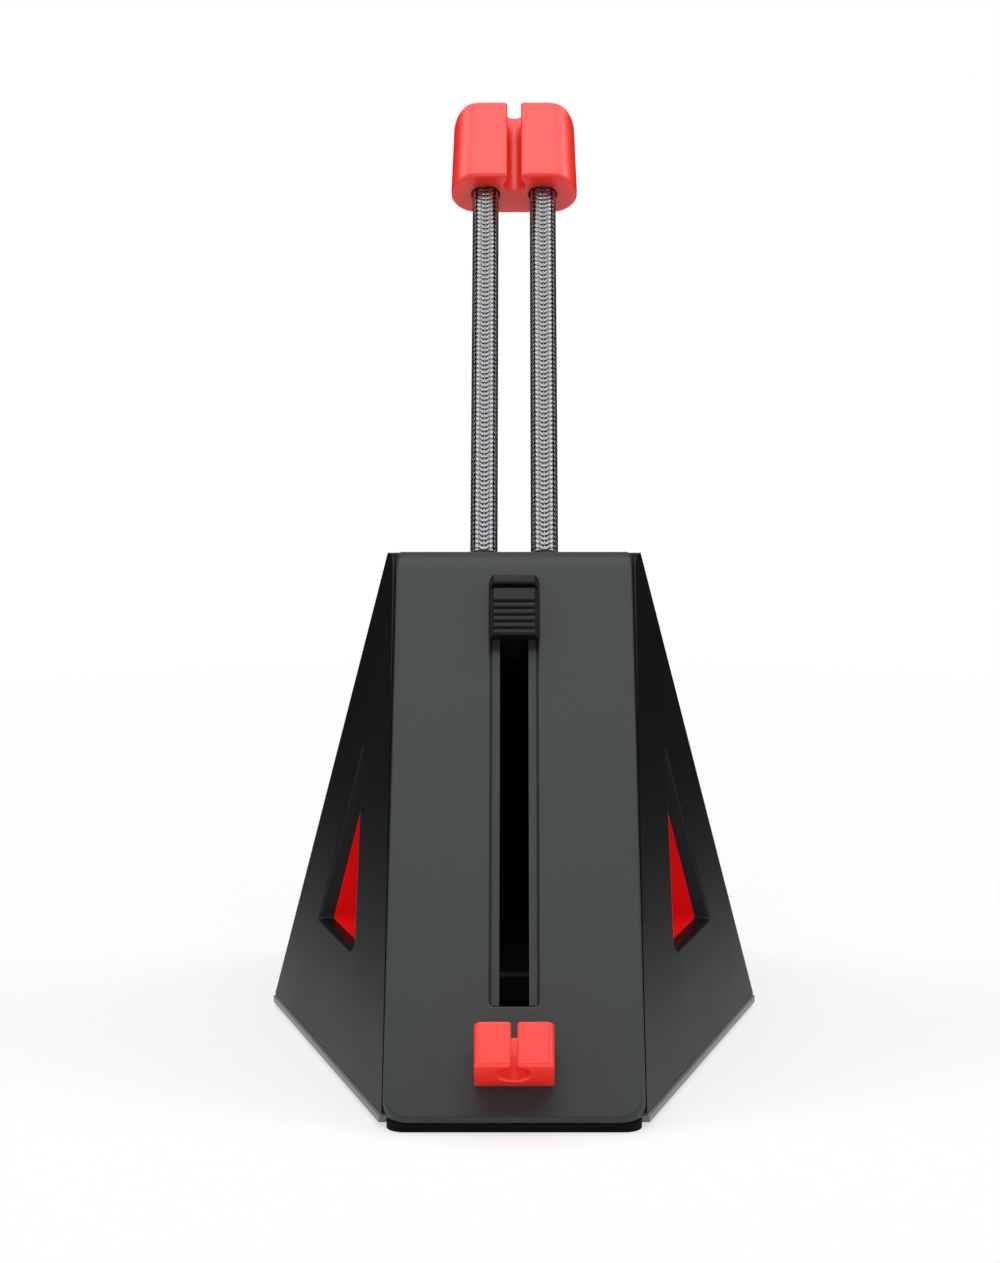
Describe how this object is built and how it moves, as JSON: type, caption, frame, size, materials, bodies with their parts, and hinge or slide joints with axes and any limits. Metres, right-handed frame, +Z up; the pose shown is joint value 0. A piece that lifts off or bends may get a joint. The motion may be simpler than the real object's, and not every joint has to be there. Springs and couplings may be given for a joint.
{
  "type": "mouse bungee",
  "caption": "Weighted faceted wedge with a height slider on its slope and sprung braided arms that hold a mouse cable in a slotted red clip.",
  "frame": {"origin": "middle of the foot, on the table, on the underside of the non-slip pad", "axes": "+Z up, the sloping cover faces -Y, the arms rise towards +Y, X across"},
  "size_m": [0.0702, 0.1201, 0.1289],
  "materials": {
    "shell_plastic": "satin black",
    "base_plastic": "satin grey",
    "panel_plastic": "fine matt dark grey",
    "ballast_iron": "rough cast",
    "screw_steel": "zinc plated",
    "pad_rubber": "matt black",
    "liner_red": "satin red",
    "clip_red": "soft matt red",
    "acetal_black": "smooth black",
    "thumb_black": "satin black",
    "pad_felt": "grey felt",
    "spring_steel": "bright spring wire",
    "braid_steel": "braided wire",
    "ferrule_steel": "crimped tube"
  },
  "bodies": {
    "housing": {"main_shell": "shell_plastic", "front_panel": "panel_plastic", "base_plate": "base_plastic", "ballast_plate": "ballast_iron", "ballast_screws": "screw_steel", "housing_screws": "screw_steel", "non_slip_pad": "pad_rubber", "window_liner_left": "liner_red", "window_liner_right": "liner_red", "lower_clip": "clip_red", "lower_clip_screw": "screw_steel", "panel_screws": "screw_steel", "arm_bush_left": "acetal_black", "arm_bush_right": "acetal_black"},
    "slider": {"slider_thumb": "thumb_black", "slide_carriage": "acetal_black", "thumb_screws": "screw_steel", "brake_pads": "pad_felt", "arm_core_left": "spring_steel", "arm_core_right": "spring_steel", "arm_sleeve_left": "braid_steel", "arm_sleeve_right": "braid_steel", "lower_ferrule_left": "ferrule_steel", "lower_ferrule_right": "ferrule_steel"},
    "clip": {"top_clip": "clip_red", "upper_ferrule_left": "ferrule_steel", "upper_ferrule_right": "ferrule_steel"}
  },
  "joints": [
    {"name": "height_slide", "type": "slide", "parent": "housing", "child": "slider", "axis": [0, 0.6428, 0.766], "range_m": [-0.0557, 0]},
    {"name": "arm_flex", "type": "hinge", "parent": "slider", "child": "clip", "pos_m": [0, 0.035, 0.08744], "axis": [-1, 0, 0], "range_deg": [0, 25], "stiffness_Nm_per_rad": 0.15, "deforming": ["arm_core_left", "arm_core_right", "arm_sleeve_left", "arm_sleeve_right"]}
  ]
}
